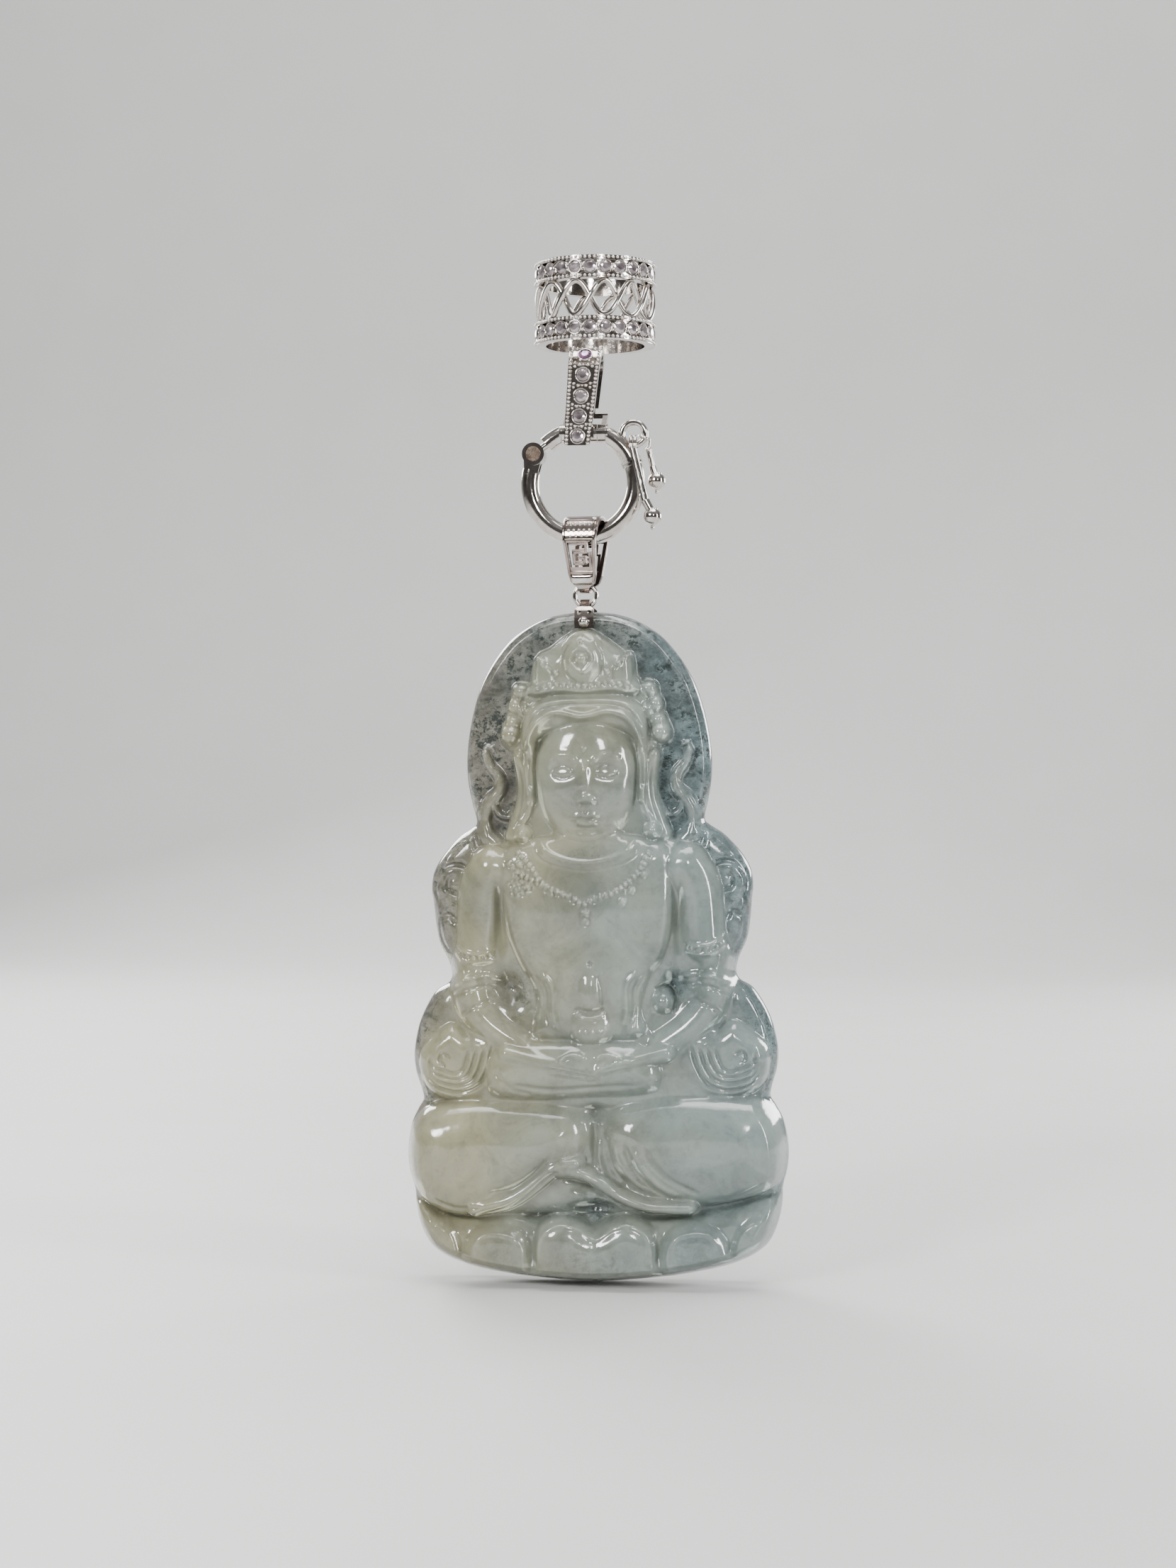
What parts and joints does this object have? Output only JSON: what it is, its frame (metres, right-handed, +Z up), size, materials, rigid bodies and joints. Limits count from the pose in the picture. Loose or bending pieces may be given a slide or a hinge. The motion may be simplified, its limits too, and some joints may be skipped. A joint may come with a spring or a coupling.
{
  "type": "jade seated figure pendant",
  "caption": "Jade carving of a seated haloed figure on a lotus, hung from a silver link, fret bail, hinged ring clasp and hook bail, with an openwork barrel slider.",
  "frame": {"origin": "inner top of the hook bail's saddle, where the cord bears", "axes": "+X to the right as seen from the front, +Y to the back, +Z up"},
  "size_m": [0.0343, 0.0108, 0.0909],
  "materials": {
    "silver": "polished rhodium-plated silver",
    "dark_silver": "satin silver",
    "pin_brown": "aged pin head",
    "stone": "smoky round-cut clear stone",
    "jade": "polished icy translucent jade with darker flecks in the thin halo"
  },
  "bodies": {
    "bail": {"bail_hook": "silver", "hook_stones": "stone"},
    "catch": {"bail_catch": "silver"},
    "gate": {"clasp_gate": "silver", "lug_loop": "silver"},
    "ring": {"clasp_ring": "silver", "latch_tongue": "dark_silver", "hinge_pin": "pin_brown"},
    "front_drop": {"front_drop_wire": "silver", "front_drop_ball": "silver"},
    "side_drop": {"side_drop_wire": "silver", "side_drop_ball": "silver"},
    "key_bail": {"fret_bail": "silver"},
    "link": {"link_ring": "silver"},
    "carving": {"jade_cap": "silver", "cap_rivet": "silver", "jade_figure": "jade"},
    "barrel": {"barrel_top_rail": "silver", "barrel_bottom_rail": "silver", "lattice_wire_a": "silver", "lattice_wire_b": "silver", "barrel_top_stones": "stone", "barrel_bottom_stones": "stone"}
  },
  "joints": [
    {"name": "barrel_slide", "type": "slide", "parent": "bail", "child": "barrel", "axis": [0, 0, 1], "range_m": [0, 0.015]},
    {"name": "catch_open", "type": "hinge", "parent": "bail", "child": "catch", "pos_m": [0, 0, -0.00695], "axis": [-1, 0, 0], "range_deg": [0, 75]},
    {"name": "clasp_swing", "type": "hinge", "parent": "bail", "child": "gate", "pos_m": [0, 0, -0.00695], "axis": [1, 0, 0], "range_deg": [-35, 35]},
    {"name": "clasp_open", "type": "hinge", "parent": "gate", "child": "ring", "pos_m": [-0.00447, 0, -0.00877], "axis": [0, 1, 0], "range_deg": [0, 50]},
    {"name": "front_drop_swing", "type": "hinge", "parent": "gate", "child": "front_drop", "pos_m": [0.00443, 0, -0.00805], "axis": [-1, 0, 0], "range_deg": [0, 70]},
    {"name": "side_drop_swing", "type": "hinge", "parent": "gate", "child": "side_drop", "pos_m": [0.0054, 0, -0.00737], "axis": [0.342, 0, 0.9397], "range_deg": [-15, 40]},
    {"name": "key_bail_swing", "type": "hinge", "parent": "ring", "child": "key_bail", "pos_m": [0.00015, 0, -0.01615], "axis": [1, 0, 0], "range_deg": [-35, 35]},
    {"name": "link_swing", "type": "hinge", "parent": "key_bail", "child": "link", "pos_m": [0.00015, 0, -0.02042], "axis": [1, 0, 0], "range_deg": [-30, 30]},
    {"name": "jade_swing", "type": "hinge", "parent": "link", "child": "carving", "pos_m": [0.00015, 0, -0.02139], "axis": [0, 1, 0], "range_deg": [-20, 20]}
  ]
}
